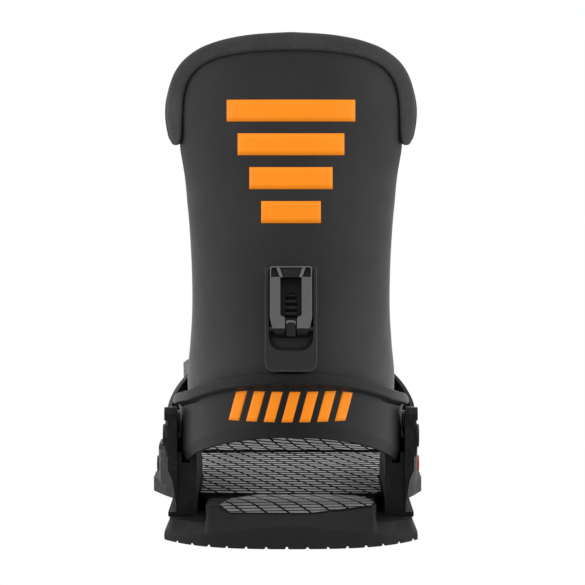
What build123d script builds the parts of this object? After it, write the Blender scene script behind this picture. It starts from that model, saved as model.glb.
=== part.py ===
from build123d import *
import math
import os

# Strap snowboard binding, millimetres.
# Origin: centre of the mounting disc, on the plane of the board's top sheet.
# +Z up, toe towards +Y, heel towards -Y.

os.makedirs("parts", exist_ok=True)

# ---- driving dimensions ----------------------------------------------------
FLOOR_Z0, FLOOR_Z1 = 3.0, 11.0          # base floor, bottom and top
PAD_Y, PAD_HALF = -118.0, 65.4          # rear edge of the heel bushing, half width
PAD_A, PAD_B = 1.84e-3, 9.5e-7          # its curve, y = A x^2 + B x^4
HEEL_Y = -98.0                          # rear edge of the base floor
FOOT_Z = 20.4                           # top of the footbed
WALL_T = 4.5                            # sidewall thickness
ARM_IN, ARM_OUT = 59.0, 63.8            # outer wall of the heel cup channel
COL_IN, COL_OUT = 48.8, 54.9            # inner wall of the heel cup channel
WING_L, WING_R = 76.0, 72.7             # outer faces of the toe wings
LIP_L, LIP_R = 79.5, 75.5               # base edge below the toe wings
DISC_R, DISC_FLANGE_R = 42.0, 47.0      # mounting disc
RUN = 0.05                              # radial clearance of running fits
BOLT_SPACING, BOLT_HOLE_R = 40.0, 3.25  # board screws, M6
CUP_R, CUP_T, CUP_CY = 58.3, 3.0, -68.0 # heel cup band, radius, wall, centre
CUP_FLANGE_R = 62.0                     # heel cup top flange
CUP_BOLT = (-35.0, 33.0)                # heel cup clamp bolt (Y, Z)
PIVOT = (-68.0, 58.0)                   # highback hinge (Y, Z)
ANKLE = (-53.0, 48.5)                   # ankle strap bolt (Y, Z)
TOE = (34.0, 19.5)                      # toe strap bolt (Y, Z)
ANKLE_TILT, TOE_TILT = 20.0, 46.0       # strap elevation, degrees
LEAN = 9.9                              # forward lean of the highback, degrees
BLOCK_Z = 89.9                          # foot of the forward lean adjuster
SHELL_T = 4.0                           # highback wall
RAMP_TRAVEL = 12.0                      # toe ramp adjustment


def node(name, shape):
    """Write one sub-part."""
    if isinstance(shape, ShapeList):
        shape = Compound(children=list(shape))
    export_step(shape, f"parts/{name}.step")


def solid_of(shape):
    """The largest solid of a shape."""
    return max(shape.solids(), key=lambda s: s.volume)


def plate(points, z0, z1):
    """Prism on a closed XY outline."""
    return Pos(0, 0, z0) * extrude(make_face(Polyline(*points, close=True)), z1 - z0, dir=(0, 0, 1))


def side(points, x0, x1):
    """Prism on a closed YZ outline between two X planes."""
    face = make_face(Plane.YZ * Polyline(*points, close=True))
    return Pos(x0, 0, 0) * extrude(face, x1 - x0, dir=(1, 0, 0))


def front(points, y0, y1):
    """Prism on a closed XZ outline between two Y planes."""
    face = make_face(Plane.XZ * Polyline(*points, close=True))
    return Pos(0, y1, 0) * extrude(face, y1 - y0, dir=(0, -1, 0))


def block(x0, x1, y0, y1, z0, z1):
    return Pos((x0 + x1) / 2, (y0 + y1) / 2, (z0 + z1) / 2) * Box(x1 - x0, y1 - y0, z1 - z0)


def rod(r, x0, x1, y, z):
    """Cylinder along X."""
    return Pos((x0 + x1) / 2, y, z) * Rot(0, 90, 0) * Cylinder(r, abs(x1 - x0))


def post(r, x, y, z0, z1):
    """Cylinder along Z."""
    return Pos(x, y, (z0 + z1) / 2) * Cylinder(r, z1 - z0)


def hexa(af, x0, x1, y, z):
    """Hexagon bar along X, given across flats."""
    pts = [(y + af / math.sqrt(3) * math.cos(a), z + af / math.sqrt(3) * math.sin(a))
           for a in (math.radians(60 * k) for k in range(6))]
    return side(pts, x0, x1)


# ---- base outline ----------------------------------------------------------
RIGHT = [(44, -98), (60.5, -93.5), (62.8, -90), (62.6, -84), (60.5, -76), (61.5, -40), (63.5, -10),
         (64.7, 8), (69.9, 20), (LIP_R, 36), (LIP_R, 56), (LIP_R - 4, 74), (64, 90), (56, 99)]
LEFT = [(-44, -98), (-60.5, -93.5), (-62.8, -90), (-62.6, -84), (-60.5, -76), (-61.5, -40), (-63.5, -10),
        (-64.7, 8), (-71.6, 20), (-LIP_L, 37), (-LIP_L, 56), (-LIP_L + 4, 74), (-66, 90), (-56, 99)]
OUTLINE = RIGHT + LEFT[::-1]


def wall_path(sign, out, back, front_y, wing, t):
    """Plan of a sidewall from heel to toe, offset t inward from its outer face."""
    o = [(out - t, back), (out - t, -14), (out - t + 1.5, 4), (wing - t - 1.5, 20), (wing - t, 28),
         (wing - t, 56), (wing - t - 3.5, 70), (wing - t - 11.5, front_y)]
    return [(sign * x, y) for x, y in o]


def wall(sign, wing):
    outer = wall_path(sign, ARM_OUT, -86, 90, wing, 0)
    inner = wall_path(sign, ARM_OUT, -86, 90, wing, WALL_T + 0.3)
    body = plate(outer + inner[::-1], FLOOR_Z1 - 0.5, 72)
    profile = [(-84, 5), (-84.2, 11), (-86, 35), (-86, 64.5), (-83.5, 67.5), (-79, 67.5), (-77.6, 60),
               (-75, 52), (-68, 48.4), (-62, 50), (-59, 54.5), (-55, 56.4), (-51, 55.2), (-45, 45),
               (-35, 38.5), (-15, 32), (8, 27.5), (24, 29), (33, 31), (52, 31), (66, 26), (90, 13), (90, 5)]
    return body & side(profile, -90, 90)


def cup_plan(r_out, r_in, z0, z1, y_front):
    """Horseshoe plan of the heel cup, swept from z0 to z1."""
    ring = post(r_out, 0, CUP_CY, z0, z1) & block(-90, 90, -160, CUP_CY, z0, z1)
    ring += block(-r_out, r_out, CUP_CY, y_front, z0, z1)
    return ring - post(r_in, 0, CUP_CY, z0, z1) - block(-r_in, r_in, CUP_CY, y_front + 1, z0, z1)


# ---- base plate ------------------------------------------------------------
slot = cup_plan(ARM_IN, COL_OUT, 5, 90, -14)
floor = plate(OUTLINE, FLOOR_Z0, FLOOR_Z1)
floor -= post(DISC_R + RUN, 0, 0, 0, 20)
floor -= post(DISC_FLANGE_R + 0.4, 0, 0, 6.5, 20)
base = floor
for s, wing in ((1, WING_R), (-1, WING_L)):
    base += wall(s, wing)
    # heel column: solid foot below the channel, inner wall beside it
    column = [(-84.4, 10.5), (-84.4, 44.2), (-62, 44.2), (-59, 40), (-34, 40), (-20, 30), (-12, 10.5)]
    base += side(column, *sorted((s * COL_IN, s * (ARM_IN + 0.5))))
    channel = [(-95, 42), (-84.4, 38.8), (-14, 17.2), (-14, 80), (-95, 80)]
    base -= slot & side(channel, *sorted((s * 30, s * 70)))
    # undercut on the outer face of the heel columns
    under = [(s * 66, 35.2), (s * 63.8, 35.2), (s * 61.6, 30), (s * 59.6, 17.7), (s * 59.6, 13.0), (s * 66, 13.0)]
    base -= front(under, -100, -50)
    base -= front([(s * 66, 32), (s * 63.8, 28), (s * 61.2, 13.0), (s * 66, 13.0)], -50, -18)
    # outward lip at the top of the rear tab
    hook = side([(-85.6, 61), (-85.6, 65), (-83.6, 67.3), (-79.4, 67.3), (-78.4, 63)], *sorted((s * 63, s * 65.6)))
    base += hook
    # bolts of the heel cup, ankle strap and toe strap
    base -= rod(2.6, s * 40, s * 70, *CUP_BOLT)
    base -= hexa(8.4, *sorted((s * 48, s * 51.4)), *CUP_BOLT)
    base -= rod(3.05, s * 58, s * 70, *ANKLE)
    base -= rod(3.05, s * 60, s * 82, *TOE)
    # boss that brings the toe strap to its line
    if s < 0:
        base += rod(7, -71.6, -68.4, *TOE) - rod(3.05, -60, -82, *TOE)
# seats of the ramp bolts
for x in (-25, 25):
    base -= post(2.55, x, 88, 0, 20)
    base -= post(5.2, x, 88, 0, 6.2)
# skeletal windows through the floor, under the footbed
for s in (1, -1):
    base -= plate([(s * 12, 52), (s * 40, 44), (s * 52, 54), (s * 48, 68), (s * 12, 70)], 0, 20)
    base -= plate([(s * 10, -54), (s * 36, -48), (s * 41, -60), (s * 38, -70), (s * 10, -72)], 0, 20)
node("baseplate", solid_of(base))

# ---- mounting disc ---------------------------------------------------------
disc = post(DISC_R, 0, 0, 0, 6.8) + post(DISC_FLANGE_R, 0, 0, 6.6, 10.4)
disc -= post(14, 0, 0, 7.6, 12)
for x in (-1, 1):
    for y in (-1, 1):
        px, py = x * BOLT_SPACING / 2, y * BOLT_SPACING / 2
        disc -= post(BOLT_HOLE_R, px, py, -1, 12)
        disc -= post(6.6, px, py, 5.4, 12)
for k in range(4):
    disc -= Rot(0, 0, 90 * k) * block(-5, 5, 30, 37, -1, 3.0)
node("mount_disc", disc)

# ---- board pads ------------------------------------------------------------
arc = [(x, PAD_Y + PAD_A * x ** 2 + PAD_B * x ** 4) for x in (PAD_HALF * k / 12 for k in range(-12, 13))]
bumper = plate(arc + [(64.5, -84), (-64.5, -84)], 0, 30)
shrunk = plate([(x * 0.9, y + 10.5) for x, y in arc] + [(58, -83), (-58, -83)], 0, 21)
crest = front([(-70, -1), (-70, 2.6), (-64, 3.0), (-43, 7.2), (-23, 10.4), (0, 12), (23, 10.4), (43, 7.2),
               (64, 3.0), (70, 2.6), (70, -1)], -130, -60)
lower = bumper & crest
tops = [(-70, 2.6), (-64.5, 10.9), (-44, 10.9), (-43.9, 19.2), (43.9, 19.2), (44, 10.9), (64.5, 10.9), (70, 2.6)]
steps = 5
for k in range(steps):
    f = (k + 1) / (steps + 1)
    layer = plate([(x * (1 - 0.1 * f), y + 11 * f) for x, y in arc] + [(59, -84), (-59, -84)], 0, 30)
    rise = [(-70, -1), (-70, 2.6), (-64, 3 + 8 * f), (-43, 7.2 + 11.5 * f), (-23, 10.4 + 8.6 * f), (0, 12 + 7 * f),
            (23, 10.4 + 8.6 * f), (43, 7.2 + 11.5 * f), (64, 3 + 8 * f), (70, 2.6), (70, -1)]
    lower += layer & front(rise, -130, -60)
lower &= front(tops + [(70, -1), (-70, -1)], -130, -60)
# room for the base floor, its flange and the heel footpad
lower -= plate([(44.1, -98.05), (60.6, -93.6), (63.0, -90), (63.0, -60), (-63.0, -60), (-63.0, -90), (-60.6, -93.6),
                (-44.1, -98.05)], FLOOR_Z0 - 0.02, 40)
tongue = plate([(-60, -90), (60, -90), (58, -64), (40, -52), (-40, -52), (-58, -64)], 0, FLOOR_Z0 - 0.02)
tongue -= post(DISC_R + 3, 0, 0, -1, 5)
node("rear_pad", solid_of(lower + tongue))

toe_pad = plate([(66, 42), (67, 58), (62, 74), (55, 88), (48, 96), (-48, 96), (-57, 88), (-66, 74), (-70, 58),
                 (-70, 42), (-56, 32), (-46, 47), (46, 47), (54, 32)], 0, FLOOR_Z0 - 0.02)
for x in (-25, 25):
    toe_pad -= post(6.5, x, 88, -1, 5)
node("front_pad", toe_pad)

# ---- footbed ---------------------------------------------------------------
heel = plate([(-42, -97.6), (42, -97.6), (44, -94), (43, -74.5), (-43, -74.5), (-44, -94)], FLOOR_Z1, FOOT_Z - 0.9)
node("heel_footpad", heel)

bed = plate([(-45, -70), (45, -70), (48.0, -67), (48.4, -12), (51.6, -4), (54, 20), (55.5, 44), (53, 66), (50, 69),
             (-50, 69), (-53, 66), (-55.5, 44), (-54, 20), (-51.6, -4), (-48.4, -12), (-48.0, -67)], FLOOR_Z1, FOOT_Z)
node("main_footbed", bed)

# ---- toe ramp --------------------------------------------------------------
ramp_side = [(71, FLOOR_Z1 + 0.05), (71, 19.0), (84, 20.5), (104, 25), (122, 29), (125, 27.5), (122, 20),
             (114, 10), (104, FLOOR_Z1 + 0.05)]
ramp = side(ramp_side, -55, 55)
ramp &= plate([(-55, 70), (55, 70), (55, 88), (49, 106), (38, 126), (-38, 126), (-49, 106), (-55, 88)], 0, 40)
for x in (-25, 25):
    ramp -= block(x - 2.7, x + 2.7, 88 - RAMP_TRAVEL - 2.7, 90.7, 0, 20)
    ramp -= block(x - 4.6, x + 4.6, 88 - RAMP_TRAVEL - 4.8, 92.8, 14, 18.2)
ramp -= block(-12, 12, 84, 112, 5, 17)
node("toe_ramp", solid_of(ramp))
pad_side = [(72, 19.12), (72, 21.0), (84, 22.6), (104, 27.2), (121, 31), (124.4, 29.4), (124.9, 27.5), (122, 29),
            (104, 25), (84, 20.5)]
ramp_pad = side(pad_side, -53, 53) & plate([(-53, 70), (53, 70), (53, 87.5), (47, 105.5), (36, 126), (-36, 126), (-47, 105.5), (-53, 87.5)],
                                           0, 40)
node("toe_ramp_pad", solid_of(ramp_pad - ramp))
for x, tag in ((-25, "l"), (25, "r")):
    node(f"ramp_bolt_{tag}", post(4.8, x, 88, 3.4, 6.2) + post(2.5, x, 88, 6.2, 17.2))
    node(f"ramp_nut_{tag}", block(x - 4, x + 4, 84, 92, 14.05, 17.2) - post(2.5, x, 88, 5, 20))

# ---- heel cup --------------------------------------------------------------
def cup_top(y):
    return 90.6 - 0.332 * (y + 130)


band = cup_plan(CUP_R, CUP_R - CUP_T, 10, 100, -18)
band &= side([(-135, cup_top(-135)), (-40, cup_top(-40)), (-22, 52), (-18, 46), (-18, 24), (-21, 20.6), (-84, 40.0),
              (-112, 52.5), (-128, 59.4), (-135, 61)], -80, 80)
lip = cup_plan(CUP_FLANGE_R, CUP_R - CUP_T, 10, 100, -18)
lip &= side([(-135, cup_top(-135)), (-87.2, cup_top(-87.2)), (-87.2, cup_top(-87.2) - 6.6), (-135, cup_top(-135) - 5.4)],
            -80, 80)
cup = solid_of(band + lip)
for s in (1, -1):
    cup -= rod(2.6, s * 50, s * 60, *CUP_BOLT)
    cup -= rod(3.05, s * 50, s * 60, *ANKLE)
    cup -= rod(2.55, s * 50, s * 60, *PIVOT)
node("heel_cup", solid_of(cup))

for s, tag in ((1, "r"), (-1, "l")):
    # heel cup clamp bolt and its nut
    bolt = rod(2.5, s * 49.0, s * 64.2, *CUP_BOLT) + rod(5.0, s * 63.85, s * 66.2, *CUP_BOLT)
    bolt -= hexa(3.0, *sorted((s * 65.0, s * 67)), *CUP_BOLT)
    node(f"heel_cup_bolt_{tag}", bolt)
    node(f"heel_cup_nut_{tag}", hexa(8.2, *sorted((s * 48.9, s * 51.4)), *CUP_BOLT) - rod(2.5, s * 48, s * 53, *CUP_BOLT))
    # highback hinge bolt and nut
    bolt = rod(2.5, s * 49.4, s * 58.6, *PIVOT) + rod(6.0, s * 58.35, s * 61.2, *PIVOT)
    bolt -= hexa(3.0, *sorted((s * 60.0, s * 62)), *PIVOT)
    node(f"highback_bolt_{tag}", bolt)
    node(f"highback_nut_{tag}", rod(5.2, s * 48.4, s * 51.0, *PIVOT) - rod(2.5, s * 49.4, s * 52, *PIVOT))

# ---- highback --------------------------------------------------------------
# level, half width, rear centre, front edge of the side wings
SECTIONS = [(44, 54.4, -121.4, -54), (58, 54.4, -121.4, -54), (72, 54.4, -121.4, -60), (86, 53.9, -120.9, -72),
            (100, 52.3, -118.9, -79), (118, 51.0, -115.8, -83), (136, 51.0, -112.6, -84), (154, 51.8, -109.5, -83),
            (170, 53.1, -106.7, -81), (186, 55.4, -103.9, -78.5), (200, 59.0, -101.4, -75.5), (214, 62.2, -99.0, -73),
            (230, 62.9, -96.2, -71.5), (262, 60.0, -90.6, -70)]


def shell_band(out, inn):
    """Curved wall between two offsets inward from the outer surface."""
    faces = []
    for z, w, yr, ye in SECTIONS:
        a = [(-(w - out) * math.cos(t), ye - (ye - yr - out) * math.sin(t)) for t in
             (math.pi * k / 14 for k in range(15))]
        b = [((w - inn) * math.cos(t), ye - (ye - yr - inn) * math.sin(t)) for t in
             (math.pi * k / 14 for k in range(15))]
        c1, c2 = Spline(*a), Spline(*b)
        faces.append(Pos(0, 0, z) * make_face(Wire([c1, Line(a[-1], b[0]), c2, Line(b[-1], a[0])])))
    return loft(faces)


# half outlines of the soft rim, outer and inner edge
RIM = [(61.4, 201.3), (63.6, 208), (65.0, 216), (65.0, 224), (63.5, 231.6), (61.7, 237), (59, 242), (54.7, 247),
       (47.6, 252), (39.8, 255.2), (30.5, 257.6), (18.0, 259.4), (0, 260.4)]
RIM_IN = [(56.4, 201.3), (56.1, 208), (55.8, 216), (55.5, 224), (54.6, 230), (52.8, 235.4), (49.6, 240), (45, 243.8),
          (38.5, 246.8), (30, 248.8), (19, 250.2), (0, 251.1)]


def both(half):
    """A half outline and its mirror image, as one open run."""
    return half + [(-x, z) for x, z in half[::-1] if x]


profile_side = [(-130, 68), (-112, 60), (-90, 51), (-77, 49.6), (-72.5, 50.2), (-68, 49.2), (-63.5, 50.2),
                (-60.2, 53.5), (-59.2, 58), (-60, 63), (-64, 72), (-71, 84), (-78, 100), (-60, 130), (-60, 270),
                (-130, 270)]
full = shell_band(0, SHELL_T)
flank = [(57, 40), (57, 172), (53.3, 174), (53.5, 177), (54.3, 184.7), (55.4, 192.5)]
shell = full & front(both(flank + RIM_IN), -140, -40) & side(profile_side, -80, 80)
for s in (1, -1):
    shell -= rod(2.5 + RUN, s * 48, s * 60, *PIVOT)
    # flat seat for the hinge nut, inside
    shell -= rod(6.2, s * 48, s * 51.1, *PIVOT)
shell = solid_of(shell)
node("highback_shell", shell)

rim = shell_band(-2.4, SHELL_T + 3.0) & front(both(RIM) + both(RIM_IN)[::-1], -140, -40)
node("highback_rim", solid_of(rim))

cushion = shell_band(SHELL_T + 0.05, SHELL_T + 6.5)
soft = [(40, 98), (44, 104), (44, 196), (51, 214), (50.5, 226), (47, 234), (41, 239.6), (32, 243.6), (18, 246), (0, 246.8)]
cushion &= front(both(soft), -140, -40) & side([(-130, 96), (-84, 96), (-84, 270), (-130, 270)], -80, 80)
node("highback_pad", solid_of(cushion))

# ---- forward lean adjuster -------------------------------------------------
# local frame: z along the highback, -y outward from its rear face
rear_y = -120.65
lean = Location((0, rear_y, BLOCK_Z), (-LEAN, 0, 0))
rack = block(-3.5, 3.5, -1.6, 2.5, 2, 49) + block(-5.4, 5.4, -3.0, -1.6, 2, 49)
for k in range(15):
    z = 3.6 + 3.05 * k
    rack += Pos(0, -3.0, z) * Rot(45, 0, 0) * Box(8.4, 1.2, 1.2)
rack = solid_of((lean * rack) - shell)
node("lean_rack", rack)

slider = block(-12.9, 12.9, -11.5, -0.55, 0, 51.4)
slider = fillet(slider.edges().filter_by(Axis.Y).sort_by(Axis.Z)[:2], 5)
slider -= block(-10.95, 10.95, -20, -5.2, 10.4, 60)
slider -= block(-3.8, 3.8, -1.8, 1, -5, 60)
slider -= block(-5.7, 5.7, -4.2, -1.45, -5, 60)
slider -= block(-2.9, 2.9, -6, -1, 25, 39.5)
slider -= rod(1.5, -12.0, 12.0, -9.1, 21.2)
node("lean_block", lean * solid_of(slider))
node("lean_pin", lean * rod(1.5, -12.0, 12.0, -9.1, 21.2))
# sprung leaf that presses the lever shut, seated on the recess floor
node("lean_spring", lean * (block(-9, 9, -5.8, -5.2, 47.5, 51) + block(-9, 9, -6.15, -5.7, 49, 51)))

lever = block(-10.4, 10.4, -13.1, -6.2, 21.2, 52.0) + rod(3.9, -10.4, 10.4, -9.2, 21.2)
lever -= block(-5.4, 5.4, -20, 0, 27, 45.4)
lever -= side([(-20, 48.0), (-12.4, 46.6), (-12.4, 44.4), (-20, 44.4)], -8.5, 8.5)
lever -= rod(1.5 + RUN, -12.0, 12.0, -9.1, 21.2)
node("lean_lever", lean * solid_of(lever))


# ---- straps ----------------------------------------------------------------
def arch_point(width, height, deg, off):
    """Point on a rounded arch at an angle, moved outward along its normal."""
    def at(d):
        t = math.radians(d)
        c, s = math.cos(t), math.sin(t)
        return (math.copysign(abs(c) ** 0.92, c) * width, math.copysign(abs(s) ** 0.92, s) * height)
    d = min(max(deg, 0.6), 179.4)
    (x0, z0), (x1, z1) = at(d - 0.5), at(d + 0.5)
    tx, tz = x1 - x0, z1 - z0
    n = math.hypot(tx, tz)
    x, z = at(deg) if 0 <= deg <= 180 else at(0)
    return (x + off * tz / n, z - off * tx / n), math.degrees(math.atan2(tz, tx))


def arch_band(width, height, d0, d1, o0, o1, y0, y1, foot=0.0):
    """Strip that follows the arch; foot extends it straight below the pivot line."""
    n = max(4, int(abs(d1 - d0) / 6))
    degs = [d0 + (d1 - d0) * k / n for k in range(n + 1)]
    outer = [arch_point(width, height, d, o1)[0] for d in degs]
    inner = [arch_point(width, height, d, o0)[0] for d in degs]
    if foot:
        outer[0], inner[0] = (outer[0][0], 0), (inner[0][0], 0)
        edges = [Spline(*outer), Line(outer[-1], inner[-1]), Spline(*inner[::-1]),
                 Line(inner[0], (inner[0][0], -foot)), Line((inner[0][0], -foot), (outer[0][0], -foot)),
                 Line((outer[0][0], -foot), outer[0])]
    else:
        edges = [Spline(*outer), Line(outer[-1], inner[-1]), Spline(*inner[::-1]), Line(inner[0], outer[0])]
    face = make_face(Plane.XZ * Wire(edges))
    return Pos(0, y1, 0) * extrude(face, y1 - y0, dir=(0, -1, 0))


def strap(tag, width, height, pivot, tilt, pad_t, wide, skip, extra, half):
    """Everything one strap is made of, buckled over the foot."""
    place = Location((0, pivot[0], pivot[1]), (-(90 - tilt), 0, 0))
    o1 = pad_t + 0.05
    o2 = o1 + 2.6 + extra
    o3 = o2 + 0.05
    o4 = o3 + 2.0
    taper = side([(-wide * 0.6, 8), (-wide * 0.72, height * 0.45), (-wide, height * 0.8), (-wide, height + 30),
                  (wide, height + 30), (wide, height * 0.8), (wide * 0.72, height * 0.45), (wide * 0.6, 8)], -99, 99)
    slim = side([(-wide * 0.48, 8), (-wide * 0.58, height * 0.45), (-wide * 0.8, height * 0.8),
                 (-wide * 0.8, height + 30), (wide * 0.8, height + 30), (wide * 0.8, height * 0.8),
                 (wide * 0.58, height * 0.45), (wide * 0.48, 8)], -99, 99)
    node(f"{tag}_pad", place * solid_of(arch_band(width, height, skip, 180 - skip, 0, pad_t, -40, 40) & taper))
    shell_raw = arch_band(width, height, skip + 4, 176 - skip, o1, o2, -40, 40) & slim
    for y in (-6.5, 6.5):
        (hx, hz), ang = arch_point(width, height, 62, o2)
        shell_raw -= Pos(hx, y, hz) * Rot(0, -ang, 0) * Cylinder(2.02, 30)
    node(f"{tag}_shell", place * solid_of(shell_raw))
    # long strap on the right side, fixed by two rivets
    eye = rod(3.06, 50, 99, 0, 0)
    ends = side([(f * half, g * half) for f, g in ((-1, 0), (-0.86, -0.59), (-0.36, -0.95), (0.36, -0.95), (0.86, -0.59),
                                                   (1, 0), (1, 20), (-1, 20))], -99, 99)
    link = arch_band(width, height, 0, 70, o3, o4, -half, half, half) & ends
    link -= eye
    for y in (-6.5, 6.5):
        (hx, hz), ang = arch_point(width, height, 62, o2)
        link -= Pos(hx, y, hz) * Rot(0, -ang, 0) * Cylinder(2.02, 30)
        (bx, bz), _ = arch_point(width, height, 62, o1)
        rivet = Pos(hx, y, hz) * Rot(0, -ang, 0) * (Pos(0, 0, 0) * Cylinder(2.0, 5.2))
        (cx, cz), _ = arch_point(width, height, 62, o4 + 0.75)
        rivet += Pos(cx, y, cz) * Rot(0, -ang, 0) * Cylinder(4.0, 1.4)
        rivet &= arch_band(width, height, 40, 84, o1 + 0.3, o4 + 1.5, -20, 20)
        node(f"{tag}_rivet_{'a' if y < 0 else 'b'}", place * solid_of(rivet - link - shell_raw))
    node(f"{tag}_link", place * solid_of(link))
    # toothed ladder on the left side
    ladder = arch_band(width, height, 180, 111, o3, o4, -half, half, half) & ends
    ladder -= rod(3.06, -99, -50, 0, 0)
    for k in range(20):
        d = 155 - 2.1 * k
        (px, pz), ang = arch_point(width, height, d, o4)
        ladder += Pos(px, 0, pz) * Rot(0, -ang, 0) * Box(1.0, 17, 0.9)
    node(f"{tag}_ladder", place * solid_of(ladder))
    # ratchet buckle: rails, cross bridges, two pins, two levers
    buckle = None
    for y0, y1 in ((-15.2, -12.9), (12.9, 15.2)):
        rail = arch_band(width, height, 130, 98, o2 + 0.03, o4 + 8.6, y0, y1)
        buckle = rail if buckle is None else buckle + rail
    buckle += arch_band(width, height, 130, 127.5, o4 + 0.75, o4 + 2.0, -13.5, 13.5)
    buckle += arch_band(width, height, 105, 98, o2 + 0.03, o4 + 1.2, -13.5, 13.5)
    (lx, lz), _ = arch_point(width, height, 117, o4 + 4.9)
    (rx, rz), _ = arch_point(width, height, 104, o4 + 4.9)
    for (px, pz) in ((lx, lz), (rx, rz)):
        buckle -= Pos(px, 0, pz) * Rot(90, 0, 0) * Cylinder(1.5, 60)
    node(f"{tag}_buckle", place * solid_of(buckle))
    node(f"{tag}_lever_pin", place * (Pos(lx, 0, lz) * Rot(90, 0, 0) * Cylinder(1.5, 30.4)))
    node(f"{tag}_release_pin", place * (Pos(rx, 0, rz) * Rot(90, 0, 0) * Cylinder(1.5, 30.4)))
    bar = arch_band(width, height, 141, 117, o4 + 2.6, o4 + 7.2, -12.4, 12.4)
    bar += Pos(lx, 0, lz) * Rot(90, 0, 0) * Cylinder(2.9, 24.8)
    bar -= arch_band(width, height, 138, 124, o4 + 5.4, o4 + 9, -8.5, 8.5)
    bar -= Pos(lx, 0, lz) * Rot(90, 0, 0) * Cylinder(1.5 + RUN, 60)
    node(f"{tag}_lever", place * solid_of(bar))
    tab = arch_band(width, height, 104, 91, o4 + 3.4, o4 + 6.4, -12.4, 12.4)
    tab += Pos(rx, 0, rz) * Rot(90, 0, 0) * Cylinder(2.7, 24.8)
    tab -= Pos(rx, 0, rz) * Rot(90, 0, 0) * Cylinder(1.5 + RUN, 60)
    node(f"{tag}_release", place * solid_of(tab))
    ends_at = [tuple(round(v, 2) for v in (place * Pos(px, 0, pz)).position) for px, pz in ((lx, lz), (rx, rz))]


strap("ankle", 54.9, 82.0, ANKLE, ANKLE_TILT, 5.5, 27.0, 27, 1.5, 11.0)
strap("toe", 55.3, 66.0, TOE, TOE_TILT, 4.5, 21.0, 27, 1.5, 8.1)

# ---- strap bolts -----------------------------------------------------------
for s, tag in ((1, "r"), (-1, "l")):
    # ankle: shaft through link, arm and heel cup, round cap outside, nut inside
    bolt = rod(3.0, s * 51.6, s * 67.0, *ANKLE) + rod(6.2, s * 66.75, s * 68.1, *ANKLE)
    node(f"ankle_bolt_{tag}", bolt)
    node(f"ankle_nut_{tag}", rod(5.0, s * 52.4, s * 55.25, *ANKLE) - rod(3.0, s * 50, s * 58, *ANKLE))
    # toe: cap outside the wing, head inside the link
    wing = WING_R if s > 0 else WING_L
    bolt = rod(3.0, s * 62.0, s * (wing + 0.6), *TOE) + rod(4.6, s * (wing + 0.05), s * (wing + 1.15), *TOE)
    node(f"toe_bolt_{tag}", bolt)
    node(f"toe_nut_{tag}", rod(5.4, s * 61.0, s * 63.9, *TOE) - rod(3.0, s * 62.0, s * 68, *TOE))
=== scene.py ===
import math

import bmesh
import bpy
from mathutils import Matrix, Vector


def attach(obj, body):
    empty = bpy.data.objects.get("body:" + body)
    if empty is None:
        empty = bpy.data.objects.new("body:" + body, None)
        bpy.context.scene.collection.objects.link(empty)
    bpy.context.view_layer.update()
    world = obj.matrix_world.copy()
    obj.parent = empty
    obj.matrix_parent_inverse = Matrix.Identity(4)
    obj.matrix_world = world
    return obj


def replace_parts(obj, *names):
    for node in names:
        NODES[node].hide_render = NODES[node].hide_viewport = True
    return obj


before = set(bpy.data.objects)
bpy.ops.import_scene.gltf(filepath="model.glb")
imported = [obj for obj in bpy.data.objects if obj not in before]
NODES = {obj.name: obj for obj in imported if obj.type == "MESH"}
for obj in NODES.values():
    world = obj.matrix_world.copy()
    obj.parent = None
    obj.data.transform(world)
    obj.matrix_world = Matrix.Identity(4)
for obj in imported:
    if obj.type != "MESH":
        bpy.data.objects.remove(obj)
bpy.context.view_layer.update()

MM = 0.001


# ---- helpers -------------------------------------------------------------------------
def V(x, y, z):
    """Vector in metres from millimetres."""
    return Vector((x, y, z)) * MM


def lerp(a, b, t):
    """Value at share t of the way from a to b."""
    return a + (b - a) * t


def curve_at(table, x):
    """Piecewise-linear value of a table of (x, y) pairs."""
    if x <= table[0][0]:
        return table[0][1]
    for (x0, y0), (x1, y1) in zip(table, table[1:]):
        if x <= x1:
            return lerp(y0, y1, (x - x0) / (x1 - x0))
    return table[-1][1]


def smooth_at(table, x):
    """Smooth (Catmull-Rom) value of a table of (x, y) pairs."""
    n = len(table)
    if x <= table[0][0]:
        return table[0][1]
    if x >= table[-1][0]:
        return table[-1][1]
    for i in range(n - 1):
        x0, y0 = table[i]
        x1, y1 = table[i + 1]
        if x <= x1:
            t = (x - x0) / (x1 - x0)
            h = x1 - x0
            m0 = (y1 - table[i - 1][1]) / (x1 - table[i - 1][0]) * h if i > 0 else y1 - y0
            m1 = (table[i + 2][1] - y0) / (table[i + 2][0] - x0) * h if i < n - 2 else y1 - y0
            return ((2 * t ** 3 - 3 * t * t + 1) * y0 + (t ** 3 - 2 * t * t + t) * m0
                    + (-2 * t ** 3 + 3 * t * t) * y1 + (t ** 3 - t * t) * m1)
    return table[-1][1]


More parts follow.
